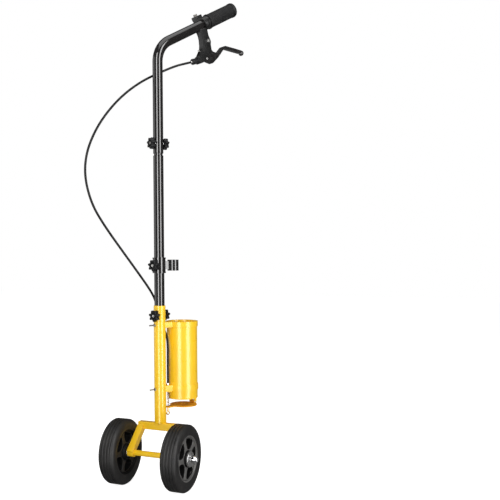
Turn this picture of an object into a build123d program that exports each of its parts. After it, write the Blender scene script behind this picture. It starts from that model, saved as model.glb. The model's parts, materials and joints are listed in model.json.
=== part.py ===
from build123d import *
import os
from math import cos, pi, radians, sin, sqrt, tan

# Two-wheeled line-marking wand.  Millimetres.  +X is the way it rolls forward, +Y is along
# the axle (the left-hand wheel seen from the handle end), +Z is up.  The origin is on the
# ground, midway between the wheels and under the axle.

# ---- driving dimensions --------------------------------------------------------------------

RUN = 0.05                  # radial running clearance

# wheels and axle
WHEEL_R = 70.0              # tyre outer radius
TYRE_WIDTH = 38.0
TYRE_SEAT_R = 48.0
WHEEL_Y = 72.0              # wheel centre plane from the middle
HUB_INNER = 53.0            # hub ends, from the middle
HUB_OUTER = 93.0
HUB_R = 20.0
SPOKES = 5
SPOKE_WIDTH = 6.0
BEARING_R = 13.0
BEARING_WIDTH = 8.0
AXLE_R = 5.0
AXLE_Z = WHEEL_R

# yoke and post
BAR_SIDE = 16.0             # square tube of the crossbar
BAR_WALL = 1.5
YOKE_HALF_WIDTH = 52.0
CROSSBAR_Z = 120.0
ARM_SIDE = 14.0             # square tube of the two arms
ARM_SLOPE = 42.0
ARM_RISE = 5.0              # arm's centre line passes this far above the axle
ARM_TIP = 9.0               # and runs on past it
AXLE_LUG_R = 9.0
POST_X = -50.0
POST_R = 13.0
POST_BORE_R = 11.25
POST_TOP = 384.7

# canister for the upside-down paint can
COLUMN_HEADING = 150.0      # way that the canister and handle face, degrees from +X
CANISTER_OUT = 59.5         # canister axis from the post axis
CANISTER_R = 34.0
CAN_BORE_R = 32.75
CANISTER_BOTTOM = 177.5
CANISTER_TOP = 348.0
SEAT_OPENING_R = 25.0
SEAT_THICK = 2.0            # ring under the can, welded to the tube's lower end
STRAP_THICK = 1.5
STRAP_HEIGHTS = ((336.0, 348.0), (196.0, 209.0))
BOLT_HEIGHTS = (342.0, 202.0)
BOLT_R = 1.5
EAR_INNER = 9.0             # inner faces of the strap ears, from the middle plane
EAR_THICK = 2.0

# nozzle plate under the canister
PLATE_Z = 160.0
PLATE_THICK = 2.5
PLATE_R = 30.0
HINGE_OUT = 88.0
HINGE_Z = 166.0
WIRE_OUT = 17.0             # pull wire, out from the post axis
WIRE_SIDE = -5.2
WIRE_R = 0.8
HINGE_PIN_R = 1.5
NOZZLE_HOLE_R = 6.0
EYELET_TOP = PLATE_Z - 0.4

# telescopic mast
MAST_R = 11.2
MAST_BORE_R = 9.55
MAST_BOTTOM = 350.0
MAST_TOP = 713.5
SPIGOT_BOTTOM = 620.0
SPIGOT_TOP = 840.0

# handle
HANDLE_BOTTOM = 718.0
HANDLE_BORE_R = MAST_BORE_R + RUN
CORNER_Z = 953.9            # where the upright and the sloping bar would meet
BAR_SLOPE = 28.4
BEND_R = 58.0
GRIP_START = 156.0          # distances along the sloping bar, from that corner
GRIP_END = 240.5

# star knobs
KNOB_R = 12.9
KNOB_THICK = 9.5
KNOB_LOBES = 7
KNOB_GAP = 1.5              # from the tube to the knob's inner face
STUD_R = 3.0
INSERT_R = 4.0              # shank of a threaded insert, through a tube wall
POST_KNOB_Z = 363.0
JOINT_KNOB_Z = 740.0
COLLAR_KNOB_Z = 472.6
CROSS_HEADING = -9.0        # way that the lower knobs face

# sliding collar with the tube clip
COLLAR_BOTTOM = 456.0
COLLAR_TOP = 490.0
COLLAR_R = 14.7
CLIP_HEADING = 131.0
CLIP_OUT = 32.0             # clip axis from the mast axis
CLIP_R = 11.0
CLIP_WALL = 1.8
CLIP_Z = 473.0
CLIP_LENGTH = 24.0

# brake lever, in the frame of the sloping bar: along the bar, to the side, above the bar
CLAMP_START = 138.0
CLAMP_END = 154.0
CHEEK_INNER = 5.0           # the lever turns between the two cheeks of the perch
CHEEK_OUTER = 7.5
PIVOT = (132.5, -38.0)
PIVOT_R = 2.5
NIPPLE = (112.0, -72.4)
ADJUSTER_FOOT = (91.4, -68.5)
ADJUSTER_WAY = (-24.6, 4.7)
REACH_WAY = Plane(origin=(106, 0, -52.5), z_dir=(0.86, 0, -0.5))
EAR_SCREW_SIDE = 18.0       # clamp screw, to the side of the bar

# cable
HOUSING_R = 2.5
FERRULE_BOTTOM = 209.0
# Points of the housing's route in the column frame, from the lever down to the lower strap.
# The upper part belongs to the handle and the lower part to the frame; they meet halfway
# along the run at the widest part of the loop.
UPPER_ROUTE = [(52.0, 3.5, 918.0), (17.0, 13.5, 901.5), (-30.5, 17.5, 876.8), (-79.0, 16.0, 842.0),
               (-119.5, 15.0, 801.0), (-150.5, 15.0, 757.0), (-171.5, 15.0, 708.0)]
LOWER_ROUTE = [(-175.0, 15.0, 658.0), (-158.5, 15.0, 603.0), (-129.0, 15.0, 559.5), (-89.5, 15.4, 511.0),
               (-48.5, 16.0, 462.0), (-9.0, 17.3, 414.0), (5.0, 19.5, 388.0), (11.0, 22.5, 362.0),
               (18.0, 17.5, 338.5), (20.0, 6.5, 316.0), (18.3, -3.0, 292.0)]
BORE_DEPTH = 22.0           # open bore at the lower end, for the wire to draw up into

# ---- frames --------------------------------------------------------------------------------

WORLD = Pos(0, 0, 0)
AXLE = Pos(0, 0, AXLE_Z)
# local +X runs from the post axis to the canister axis, local +Y to the right-hand side
COLUMN = Pos(POST_X, 0, 0) * Rot(0, 0, COLUMN_HEADING)
BAR = COLUMN * Pos(0, 0, CORNER_Z) * Rot(0, -BAR_SLOPE, 0)
ADJUSTER = BAR * Plane(origin=(ADJUSTER_FOOT[0], 0, ADJUSTER_FOOT[1]),
                       x_dir=(0, 1, 0),
                       z_dir=(ADJUSTER_WAY[0], 0, ADJUSTER_WAY[1])).location


def heading(angle, z=0.0):
    """Frame on the post axis at height z whose +X faces the given way."""
    return Pos(POST_X, 0, z) * Rot(0, 0, angle)


# ---- shared shapes -------------------------------------------------------------------------

def rod(start, end, radius):
    """Round bar between two points."""
    way = Vector(*end) - Vector(*start)
    return Solid.make_cylinder(radius, way.length, Plane(origin=start, z_dir=way))


def pipe(start, end, outer, inner):
    """Round tube between two points."""
    return rod(start, end, outer) - rod(start, end, inner)


def block(x0, x1, y0, y1, z0, z1):
    """Rectangular block between two corners."""
    middle = ((x0 + x1) / 2, (y0 + y1) / 2, (z0 + z1) / 2)
    return Pos(*middle) * Box(x1 - x0, y1 - y0, z1 - z0)


def hexagon(across_flats, z0, z1):
    """Hexagonal prism on the local Z axis."""
    return Pos(0, 0, z0) * extrude(RegularPolygon(across_flats / sqrt(3), 6), z1 - z0)


def spun(*outline):
    """Solid of revolution about Z, from (radius, height) points."""
    section = Plane.XZ * make_face(Polyline(*outline, close=True))
    return revolve(section, Axis.Z)


def limb(*discs):
    """Flat outline that joins a row of discs (x, y, radius) by their common tangents."""
    outline = Sketch()
    for (x0, y0, r0), (x1, y1, r1) in zip(discs, discs[1:]):
        pair = Pos(x0, y0) * Circle(r0) + Pos(x1, y1) * Circle(r1)
        outline += make_hull(pair.edges())
    return outline


def upright(outline, half_width):
    """Outline drawn in the local XZ plane, extruded to both sides."""
    return extrude(Plane.XZ * outline, half_width, both=True)


def keep(name, frame, shape):
    """Place a piece and write it to its own file."""
    placed = frame * shape
    solids = placed.solids()
    export_step(solids[0] if len(solids) == 1 else Compound(children=solids), f"parts/{name}.step")
    return placed


def keep_group(name, pieces):
    """Write several separate solids to one file."""
    export_step(Compound(children=[s for p in pieces for s in p.solids()]), f"parts/{name}.step")


# ---- axle and yoke -------------------------------------------------------------------------

def yoke():
    half = BAR_SIDE / 2
    inner = half - BAR_WALL
    width = YOKE_HALF_WIDTH
    solid_bar = block(POST_X - half, POST_X + half, -width, width, CROSSBAR_Z - half, CROSSBAR_Z + half)
    hollow = block(POST_X - inner, POST_X + inner, -width + BAR_WALL, width - BAR_WALL,
                   CROSSBAR_Z - inner, CROSSBAR_Z + inner)
    keep("yoke_crossbar", WORLD, solid_bar - hollow)

    arm_half = ARM_SIDE / 2
    arm_inner = arm_half - BAR_WALL
    slope = Pos(0, 0, AXLE_Z + ARM_RISE) * Rot(0, ARM_SLOPE, 0)
    axle_hole = rod((0, -200, AXLE_Z), (0, 200, AXLE_Z), AXLE_R + RUN)
    for side, name in ((1, "left_yoke_arm"), (-1, "right_yoke_arm")):
        middle = side * (width - arm_half)
        outer = slope * block(-90.0, ARM_TIP, middle - arm_half, middle + arm_half, -arm_half, arm_half)
        bore = slope * block(-90.0, -AXLE_LUG_R, middle - arm_inner, middle + arm_inner,
                             -arm_inner, arm_inner)
        lug = rod((0, middle - arm_half, AXLE_Z), (0, middle + arm_half, AXLE_Z), AXLE_LUG_R)
        arm = outer + lug - bore - solid_bar - axle_hole
        arm = max(arm.solids(), key=lambda s: s.bounding_box().max.X)
        keep(name, WORLD, arm)


def axle():
    inside = YOKE_HALF_WIDTH - ARM_SIDE
    keep("axle_tube", AXLE, pipe((0, -inside, 0), (0, inside, 0), 6.0, AXLE_R + RUN))
    nut_face = HUB_OUTER + 2.0
    rod_end = nut_face + 13.0
    keep("axle_rod", AXLE, rod((0, -rod_end, 0), (0, rod_end, 0), AXLE_R))
    washers = []
    dome_nuts = []
    for side in (1, -1):
        out = AXLE * Rot(-90 * side, 0, 0)
        washers.append(out * pipe((0, 0, YOKE_HALF_WIDTH), (0, 0, HUB_INNER - RUN), 10.0, AXLE_R))
        washers.append(out * pipe((0, 0, nut_face - 2.0 + RUN), (0, 0, nut_face), 16.0, AXLE_R))
        body = hexagon(16.0, nut_face, nut_face + 9.0) & (
            Pos(0, 0, nut_face + 4.5) * Cylinder(9.0, 9.0))
        dome = Pos(0, 0, nut_face + 9.0) * Sphere(7.6) & block(-9, 9, -9, 9, nut_face + 8.0, nut_face + 20.0)
        nut = body + dome - rod((0, 0, nut_face), (0, 0, rod_end), AXLE_R)
        dome_nuts.append(out * nut)
    keep_group("axle_washers", washers)
    keep_group("dome_nuts", dome_nuts)


# ---- wheels --------------------------------------------------------------------------------

def tyre():
    depth = WHEEL_R - TYRE_SEAT_R
    section = Pos(TYRE_SEAT_R + depth / 2, 0) * Rectangle(depth, TYRE_WIDTH)
    shoulders = section.vertices().group_by(Axis.X)[-1]
    section = fillet(shoulders, 7.0)
    for groove in range(4):
        section -= Pos(WHEEL_R, -10.5 + 7.0 * groove) * Rectangle(3.6, 2.2)
    return revolve(Plane.XZ * section, Axis.Z)


def rim():
    ring = Cylinder(TYRE_SEAT_R, TYRE_WIDTH - 4.0) - Cylinder(TYRE_SEAT_R - 6.0, TYRE_WIDTH)
    web = Circle(TYRE_SEAT_R - 5.0)
    windows = Circle(TYRE_SEAT_R - 6.5) - Circle(HUB_R + 1.5)
    for spoke in range(SPOKES):
        windows -= Rot(0, 0, 360.0 / SPOKES * spoke) * Pos(40.0, 0) * Rectangle(80.0, SPOKE_WIDTH)
    windows = fillet(windows.vertices(), 4.0)
    disc = extrude(web - windows, 11.0, both=True)
    inner = HUB_INNER - WHEEL_Y
    outer = HUB_OUTER - WHEEL_Y
    boss = rod((0, 0, inner), (0, 0, outer), HUB_R)
    seats = rod((0, 0, inner), (0, 0, outer), BEARING_R - 3.0)
    seats += rod((0, 0, inner), (0, 0, inner + BEARING_WIDTH), BEARING_R)
    seats += rod((0, 0, outer - BEARING_WIDTH), (0, 0, outer), BEARING_R)
    return ring + disc + boss - seats


def bearings():
    starts = (HUB_INNER - WHEEL_Y, HUB_OUTER - WHEEL_Y - BEARING_WIDTH)
    return [pipe((0, 0, z), (0, 0, z + BEARING_WIDTH), BEARING_R, AXLE_R + RUN) for z in starts]


def wheels():
    for side, name in ((1, "left_wheel"), (-1, "right_wheel")):
        place = Pos(0, side * WHEEL_Y, AXLE_Z) * Rot(-90 * side, 0, 0)
        keep(name + "_tyre", place, tyre())
        keep(name + "_rim", place, rim())
        keep_group(name + "_bearings", [place * ring for ring in bearings()])


# ---- post and canister ---------------------------------------------------------------------

def insert(tube_r, bore_r):
    """Threaded insert along local +X, with its flange on the tube and its shank in the wall."""
    flange = rod((0, 0, 0), (tube_r + KNOB_GAP - 0.6, 0, 0), 5.5) - Cylinder(tube_r, 40.0)
    shank = rod((0, 0, 0), (tube_r, 0, 0), INSERT_R) & Cylinder(tube_r, 40.0)
    shank -= Cylinder(bore_r, 40.0)
    return flange + shank - rod((0, 0, 0), (tube_r + KNOB_GAP, 0, 0), STUD_R + RUN)


def post():
    tube = pipe((POST_X, 0, CROSSBAR_Z + BAR_SIDE / 2), (POST_X, 0, POST_TOP), POST_R, POST_BORE_R)
    for z in BOLT_HEIGHTS:
        tube -= heading(COLUMN_HEADING, z) * rod((-30, 0, 0), (30, 0, 0), BOLT_R + RUN)
    for turn in (0, 180):
        tube -= heading(CROSS_HEADING + turn, POST_KNOB_Z) * rod((0, 0, 0), (30, 0, 0), INSERT_R)
    keep("post_tube", WORLD, tube)
    inserts = [heading(CROSS_HEADING + turn, POST_KNOB_Z) * insert(POST_R, POST_BORE_R) for turn in (0, 180)]
    keep_group("post_inserts", inserts)


def canister():
    axis = (CANISTER_OUT, 0)
    seat_top = CANISTER_BOTTOM + SEAT_THICK
    shell = pipe((*axis, seat_top), (*axis, CANISTER_TOP), CANISTER_R, CAN_BORE_R)
    keep("canister_tube", COLUMN, shell)
    seat = pipe((*axis, CANISTER_BOTTOM), (*axis, seat_top), CANISTER_R, SEAT_OPENING_R)
    keep("can_seat_ring", COLUMN, seat)


def strap(z0, z1, bolt_z):
    """Band round the canister with two ears and a bridge, welded to the post."""
    band = Pos(CANISTER_OUT, 0, (z0 + z1) / 2) * Cylinder(CANISTER_R + STRAP_THICK, z1 - z0)
    outside = EAR_INNER + EAR_THICK
    ears = block(2.0, CANISTER_OUT - 30.0, -outside, outside, z0, z1)
    cavity = block(POST_R + 2.0, CANISTER_OUT - 25.0, -EAR_INNER, EAR_INNER, z0 - 1, z1 + 1)
    front = block(0, POST_R, -EAR_INNER, EAR_INNER, z0 - 1, z1 + 1)
    canister_room = Pos(CANISTER_OUT, 0, (z0 + z1) / 2) * Cylinder(CANISTER_R, z1 - z0 + 4)
    post_room = Pos(0, 0, (z0 + z1) / 2) * Cylinder(POST_R, z1 - z0 + 4)
    shape = band + ears - cavity - front - canister_room - post_room
    return shape - rod((0, 0, bolt_z), (30, 0, bolt_z), BOLT_R + RUN)


def cable_bracket(z0, z1):
    """Bent plate between the ears: the housing stands on its top, the spring pushes on its foot."""
    x0 = POST_R + 2.0
    x1 = CANISTER_OUT - CANISTER_R - 1.0
    shape = block(x0, x1, -EAR_INNER, EAR_INNER, z1 - 2.0, z1)
    shape += block(x0, x1, EAR_INNER - 2.0, EAR_INNER, z0 - 2.0, z1)
    shape += block(x0, x1, -EAR_INNER - 1, EAR_INNER, z0 - 2.0, z0)
    return shape - rod((WIRE_OUT, WIRE_SIDE, 0), (WIRE_OUT, WIRE_SIDE, 300), 1.2)


def straps():
    upper = strap(*STRAP_HEIGHTS[0], BOLT_HEIGHTS[0])
    keep("upper_strap", COLUMN, max(upper.solids(), key=lambda s: s.volume))
    z0, z1 = STRAP_HEIGHTS[1]
    lower = strap(z0, z1, BOLT_HEIGHTS[1])
    keep("lower_strap", COLUMN, max(lower.solids(), key=lambda s: s.volume))
    keep("cable_bracket", COLUMN, cable_bracket(z0, z1))

    bolts = []
    for z in BOLT_HEIGHTS:
        shank = rod((-27, 0, z), (POST_R + 2.0, 0, z), BOLT_R)
        head = rod((POST_R + 2.0, 0, z), (POST_R + 3.8, 0, z), 2.8)
        bolts.append(COLUMN * (shank + head))
        nut = Pos(0, 0, z) * Rot(0, -90, 0) * hexagon(5.5, POST_R - 1.0, POST_R + 2.4)
        nut -= rod((-30, 0, z), (0, 0, z), BOLT_R)
        nut -= Pos(0, 0, z) * Cylinder(POST_R, 20)
        bolts.append(COLUMN * nut)
    keep_group("strap_bolts", bolts)


def nozzle_plate():
    knuckle_half = 8.0
    top = PLATE_Z + PLATE_THICK
    disc = Pos(62.0, 0, PLATE_Z + PLATE_THICK / 2) * Cylinder(PLATE_R, PLATE_THICK)
    tab = block(14.2, 45.0, WIRE_SIDE - 5.0, WIRE_SIDE + 9.0, PLATE_Z, top)
    knuckle = rod((HINGE_OUT, -knuckle_half, HINGE_Z), (HINGE_OUT, knuckle_half, HINGE_Z), 3.5)
    neck = block(HINGE_OUT - 2.0, HINGE_OUT + 2.0, -knuckle_half, knuckle_half, PLATE_Z, HINGE_Z)
    plate = disc + tab + neck + knuckle
    plate -= rod((HINGE_OUT, -20, HINGE_Z), (HINGE_OUT, 20, HINGE_Z), HINGE_PIN_R + RUN)
    plate -= rod((CANISTER_OUT, 0, 100), (CANISTER_OUT, 0, 170), NOZZLE_HOLE_R)
    plate -= rod((WIRE_OUT, WIRE_SIDE, 100), (WIRE_OUT, WIRE_SIDE, 170), 2.2)
    keep("nozzle_plate", COLUMN, plate)

    lug_inner = knuckle_half + 0.1
    lug_outer = lug_inner + 2.0
    bracket = block(HINGE_OUT - 4.0, HINGE_OUT + 3.0, -lug_outer, lug_outer,
                    CANISTER_BOTTOM - 2.0, CANISTER_BOTTOM)
    lug = Pos(HINGE_OUT, HINGE_Z) * Circle(3.0)
    lug += Pos(HINGE_OUT, (HINGE_Z + CANISTER_BOTTOM) / 2) * Rectangle(6.0, CANISTER_BOTTOM - HINGE_Z)
    for side in (1, -1):
        bracket += Pos(0, side * (lug_inner + 1.0), 0) * upright(lug, 1.0)
    bracket -= rod((HINGE_OUT, -20, HINGE_Z), (HINGE_OUT, 20, HINGE_Z), HINGE_PIN_R)
    keep("plate_hinge_bracket", COLUMN, bracket)
    pin_half = lug_outer + 1.0
    pin = rod((HINGE_OUT, -pin_half, HINGE_Z), (HINGE_OUT, pin_half, HINGE_Z), HINGE_PIN_R)
    keep("plate_hinge_pin", COLUMN, pin)


def pull_end():
    """Bare wire below the housing, its clamp and eye under the plate, and the return spring."""
    axis = (WIRE_OUT, WIRE_SIDE)
    eye_z = EYELET_TOP - 11.5
    wire = rod((*axis, EYELET_TOP - 6.0), (*axis, FERRULE_BOTTOM + 8.0), WIRE_R)
    keep("pull_wire", COLUMN, wire)
    clamp = rod((*axis, EYELET_TOP - 8.0), (*axis, EYELET_TOP), 2.5)
    clamp += Pos(*axis, eye_z) * Rot(90, 0, 0) * Torus(3.4, 1.3)
    clamp -= rod((*axis, EYELET_TOP - 6.0), (*axis, 200), WIRE_R)
    keep("wire_clamp", COLUMN, clamp)

    bottom = PLATE_Z + PLATE_THICK
    top = STRAP_HEIGHTS[1][0] - 2.0
    wire_r = 0.45
    turns = Helix(pitch=3.2, height=top - bottom - 2 * wire_r, radius=2.5)
    coil = sweep(Plane(turns @ 0, z_dir=turns % 0) * Circle(wire_r), turns, is_frenet=True)
    keep("return_spring", COLUMN, Pos(*axis, bottom + wire_r) * coil)

    ferrule = rod((*axis, FERRULE_BOTTOM), (*axis, FERRULE_BOTTOM + 5.0), 3.1)
    ferrule -= rod((*axis, FERRULE_BOTTOM + 2.0), (*axis, 300), HOUSING_R)
    ferrule -= rod((*axis, 100), (*axis, 300), 1.2)
    keep("lower_ferrule", COLUMN, ferrule)


# ---- mast, collar and handle tube ----------------------------------------------------------

def mast():
    tube = pipe((POST_X, 0, MAST_BOTTOM), (POST_X, 0, MAST_TOP), MAST_R, MAST_BORE_R)
    keep("mast_tube", WORLD, tube)
    spigot = pipe((POST_X, 0, SPIGOT_BOTTOM), (POST_X, 0, SPIGOT_TOP), MAST_BORE_R, 8.0)
    keep("mast_spigot", WORLD, spigot)


def collar():
    middle = (COLLAR_BOTTOM + COLLAR_TOP) / 2
    length = COLLAR_TOP - COLLAR_BOTTOM
    bore = POST_BORE_R
    ring = Cylinder(COLLAR_R - 0.8, length)
    for end in (1, -1):
        ring += Pos(0, 0, end * (length / 2 - 1.5)) * Cylinder(COLLAR_R, 3.0)
    ring = Pos(0, 0, middle) * ring
    to_clip = Rot(0, 0, CLIP_HEADING)
    back = CLIP_OUT - CLIP_R - CLIP_WALL
    arm = to_clip * block(0, back + 0.6, -5.0, 5.0, CLIP_Z - 9.0, CLIP_Z + 9.0)
    arm -= to_clip * Pos(CLIP_OUT, 0, CLIP_Z) * Cylinder(CLIP_R + CLIP_WALL, 60)
    ring += arm
    ring -= Pos(0, 0, middle) * Cylinder(bore, 60)
    knob_way = Pos(0, 0, COLLAR_KNOB_Z) * Rot(0, 0, CROSS_HEADING)
    ring -= knob_way * rod((0, 0, 0), (30, 0, 0), INSERT_R)
    screw_way = to_clip * Pos(0, 0, CLIP_Z)
    ring -= screw_way * rod((bore, 0, 0), (CLIP_OUT, 0, 0), 1.5)
    at_mast = Pos(POST_X, 0, 0)
    keep("collar_ring", at_mast, ring)
    keep("collar_insert", at_mast, knob_way * insert(COLLAR_R - 0.8, bore))

    clip = Pos(0, 0, CLIP_Z) * (Cylinder(CLIP_R + CLIP_WALL, CLIP_LENGTH) - Cylinder(CLIP_R, 60))
    mouth = Polyline((0, 0), (30, 25), (30, -25), close=True)
    clip -= Pos(0, 0, CLIP_Z - 30) * extrude(make_face(mouth), 60)
    clip = Pos(CLIP_OUT, 0, 0) * clip
    clip -= Pos(0, 0, CLIP_Z) * rod((bore, 0, 0), (CLIP_OUT, 0, 0), 1.5)
    cone = Cone(1.5, 3.0, CLIP_WALL - 0.3)
    cone = Pos(back + CLIP_WALL / 2 + 0.15, 0, CLIP_Z) * Rot(0, 90, 0) * cone
    clip -= cone
    keep("tube_clip", at_mast, to_clip * clip)
    shank = rod((bore + 0.6, 0, CLIP_Z), (back + 0.6, 0, CLIP_Z), 1.5)
    keep("clip_screw", at_mast, to_clip * (shank + cone))


def handle():
    corner = Vector(0, 0, CORNER_Z)
    slope = Vector(cos(radians(BAR_SLOPE)), 0, sin(radians(BAR_SLOPE)))
    end = corner + slope * (GRIP_END - 5.0)
    path = FilletPolyline((0, 0, HANDLE_BOTTOM), corner, end, radius=BEND_R)
    start = Plane((0, 0, HANDLE_BOTTOM))
    tube = sweep(start * (Circle(MAST_R) - Circle(HANDLE_BORE_R)), path)
    for turn in (0, 180):
        tube -= Pos(0, 0, JOINT_KNOB_Z) * Rot(0, 0, turn) * rod((0, 0, 0), (30, 0, 0), INSERT_R)
    keep("handle_tube", COLUMN, tube)
    inserts = [COLUMN * Pos(0, 0, JOINT_KNOB_Z) * Rot(0, 0, turn) * insert(MAST_R, HANDLE_BORE_R)
               for turn in (0, 180)]
    keep_group("handle_inserts", inserts)

    along = Rot(0, 90, 0)
    outline = [(MAST_R, GRIP_START), (17.2, GRIP_START), (17.2, GRIP_START + 3.5), (16.0, GRIP_START + 4.5),
               (16.0, GRIP_END - 7.0), (16.8, GRIP_END - 6.2), (16.8, GRIP_END - 3.0), (14.5, GRIP_END),
               (0, GRIP_END), (0, GRIP_END - 5.0), (MAST_R, GRIP_END - 5.0)]
    keep("handle_grip", BAR, along * spun(*outline))


# ---- star knobs ----------------------------------------------------------------------------

def star_head():
    """Knob head from z = 0 outwards, with its stud hole."""
    star = Circle(KNOB_R)
    for lobe in range(KNOB_LOBES):
        star -= Rot(0, 0, 360.0 / KNOB_LOBES * (lobe + 0.5)) * Pos(KNOB_R + 1.6, 0) * Circle(3.6)
    head = extrude(star, KNOB_THICK)
    head = chamfer(head.faces().sort_by(Axis.Z)[-1].edges(), 1.2)
    head -= Pos(0, 0, KNOB_THICK) * Cylinder(6.0, 2.0)
    head += Pos(0, 0, KNOB_THICK - 0.5) * Cylinder(4.4, 1.0)
    return head - Cylinder(STUD_R, 60)


def knob(name, frame, surface, bore):
    """Head and stud of one knob that faces the frame's +X."""
    out = frame * Rot(0, 90, 0)
    face = surface + KNOB_GAP
    keep(name + "_head", out, Pos(0, 0, face) * star_head())
    keep(name + "_stud", out, rod((0, 0, bore), (0, 0, face + KNOB_THICK - 0.3), STUD_R))


def knobs():
    knob("post_front_knob", heading(CROSS_HEADING, POST_KNOB_Z), POST_R, POST_BORE_R)
    knob("post_rear_knob", heading(CROSS_HEADING + 180, POST_KNOB_Z), POST_R, POST_BORE_R)
    knob("collar_knob", heading(CROSS_HEADING, COLLAR_KNOB_Z), COLLAR_R, POST_BORE_R)
    knob("joint_front_knob", heading(COLUMN_HEADING + 180, JOINT_KNOB_Z), MAST_R, HANDLE_BORE_R)
    knob("joint_rear_knob", heading(COLUMN_HEADING, JOINT_KNOB_Z), MAST_R, HANDLE_BORE_R)


# ---- brake lever ---------------------------------------------------------------------------

def lever_perch():
    cheek = limb((131.5, -12, 11), (130, -27, 9), (129, -38, 10.5), (122, -51, 10), (97, -67, 8.5))
    web = limb((132, -13, 9.5), (122, -30, 3.5), (117, -42, 3.5), (111, -53, 4), (98, -63, 4.0))
    socket = limb((88.5, -67.5, 8.5), (96, -68, 8.5))
    body = upright(cheek, CHEEK_OUTER) - upright(cheek, CHEEK_INNER)
    body += upright(web, CHEEK_OUTER) + upright(socket, CHEEK_OUTER)
    along = Rot(0, 90, 0)
    length = CLAMP_END - CLAMP_START
    middle = (CLAMP_START + CLAMP_END) / 2
    body += Pos(middle, 0, 0) * along * Cylinder(15.5, length)
    ears = block(CLAMP_START + 1, CLAMP_END - 1, 7, 29, 8.5, 21.5)
    ears = fillet(ears.edges().filter_by(Axis.Z).sort_by(Axis.Y)[-2:], 6.0)
    body += ears
    body -= Pos(150, 0, 0) * along * Cylinder(MAST_R, 200)
    body -= block(CLAMP_START - 1, CLAMP_END + 1, 6, 32, 14.2, 15.8)
    body -= rod((PIVOT[0], -20, PIVOT[1]), (PIVOT[0], 20, PIVOT[1]), PIVOT_R)
    body -= rod((middle, EAR_SCREW_SIDE, 0), (middle, EAR_SCREW_SIDE, 40), 2.0)
    body -= Pos(middle, EAR_SCREW_SIDE, 5) * Cylinder(3.5, 7.5)
    wire_way = Plane(origin=(ADJUSTER_FOOT[0], 0, ADJUSTER_FOOT[1]),
                     z_dir=(ADJUSTER_WAY[0], 0, ADJUSTER_WAY[1]))
    body -= wire_way.location * Pos(0, 0, -2) * Cylinder(4.0 + RUN, 16)
    body -= wire_way.location * Pos(0, 0, -15) * Cylinder(1.8, 30)
    body -= wire_way.location * Pos(0, 0, 3.2 + 15) * Cylinder(14.0, 30)
    body -= REACH_WAY.location * Cylinder(2.0 + RUN, 60)
    keep("lever_perch", BAR, max(body.solids(), key=lambda s: s.volume))

    screw = rod((0, 0, 9.0), (0, 0, 22.0), 2.0) + rod((0, 0, 22.0), (0, 0, 26.5), 4.0)
    screw -= hexagon(3.0, 24.0, 27.0)
    keep("clamp_screw", BAR * Pos(middle, EAR_SCREW_SIDE, 0), screw)
    head = rod((PIVOT[0], -CHEEK_OUTER - 2.5, PIVOT[1]), (PIVOT[0], -CHEEK_OUTER, PIVOT[1]), 4.0)
    shank = rod((PIVOT[0], -CHEEK_OUTER, PIVOT[1]), (PIVOT[0], CHEEK_OUTER + 5.0, PIVOT[1]), PIVOT_R)
    nut = Pos(PIVOT[0], CHEEK_OUTER, PIVOT[1]) * Rot(-90, 0, 0) * hexagon(8.0, 0, 4.0)
    nut -= rod((PIVOT[0], 0, PIVOT[1]), (PIVOT[0], 30, PIVOT[1]), PIVOT_R)
    keep_group("lever_pivot_bolt", [BAR * (head + shank), BAR * nut])


def reach_screw():
    shape = Pos(0, 0, -1) * Cylinder(2.0, 13.0) - Pos(0, 0, -7.5) * hexagon(2.0, 0, 2.0)
    keep("reach_screw", BAR, REACH_WAY.location * shape)


def brake_lever():
    half = CHEEK_INNER - 0.1
    knee = (122.5, -80.5, 7.5)
    body = limb((*PIVOT, 7.5), (127.5, -60, 6.0), (*NIPPLE, 7.0), knee)
    body += limb((127.5, -60, 6.0), knee, (143, -77, 5.0), (132, -67, 4.0), (127.5, -60, 6.0))
    arm = limb(knee, (143, -77, 5.0), (157, -71.8, 3.1))
    blade = limb((150, -74.6, 3.8), (157, -71.8, 3.1), (167, -67.8, 3.0), (174, -69, 3.0), (212, -94, 3.0))
    lever = upright(body, half) + upright(arm, half) + upright(blade, 6.5)
    lever += Pos(216, 0, -98.5) * Sphere(6.2)
    lever -= rod((PIVOT[0], -20, PIVOT[1]), (PIVOT[0], 20, PIVOT[1]), PIVOT_R + RUN)
    lever -= rod((NIPPLE[0], -20, NIPPLE[1]), (NIPPLE[0], 20, NIPPLE[1]), 3.0)
    slot = Plane(origin=(NIPPLE[0], 0, NIPPLE[1]), z_dir=(ADJUSTER_WAY[0], 0, ADJUSTER_WAY[1]))
    lever -= slot.location * Pos(0, 0, 10) * Box(3.0, 2.4, 20)
    keep("brake_lever", BAR, max(lever.solids(), key=lambda s: s.volume))
    nipple = rod((NIPPLE[0], -4.5, NIPPLE[1]), (NIPPLE[0], 4.5, NIPPLE[1]), 3.0)
    way = Vector(ADJUSTER_WAY[0], 0, ADJUSTER_WAY[1]).normalized()
    foot = Vector(NIPPLE[0], 0, NIPPLE[1])
    nipple += rod(foot, foot + way * 7.0, WIRE_R)
    keep("cable_nipple", BAR, nipple)


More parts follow.
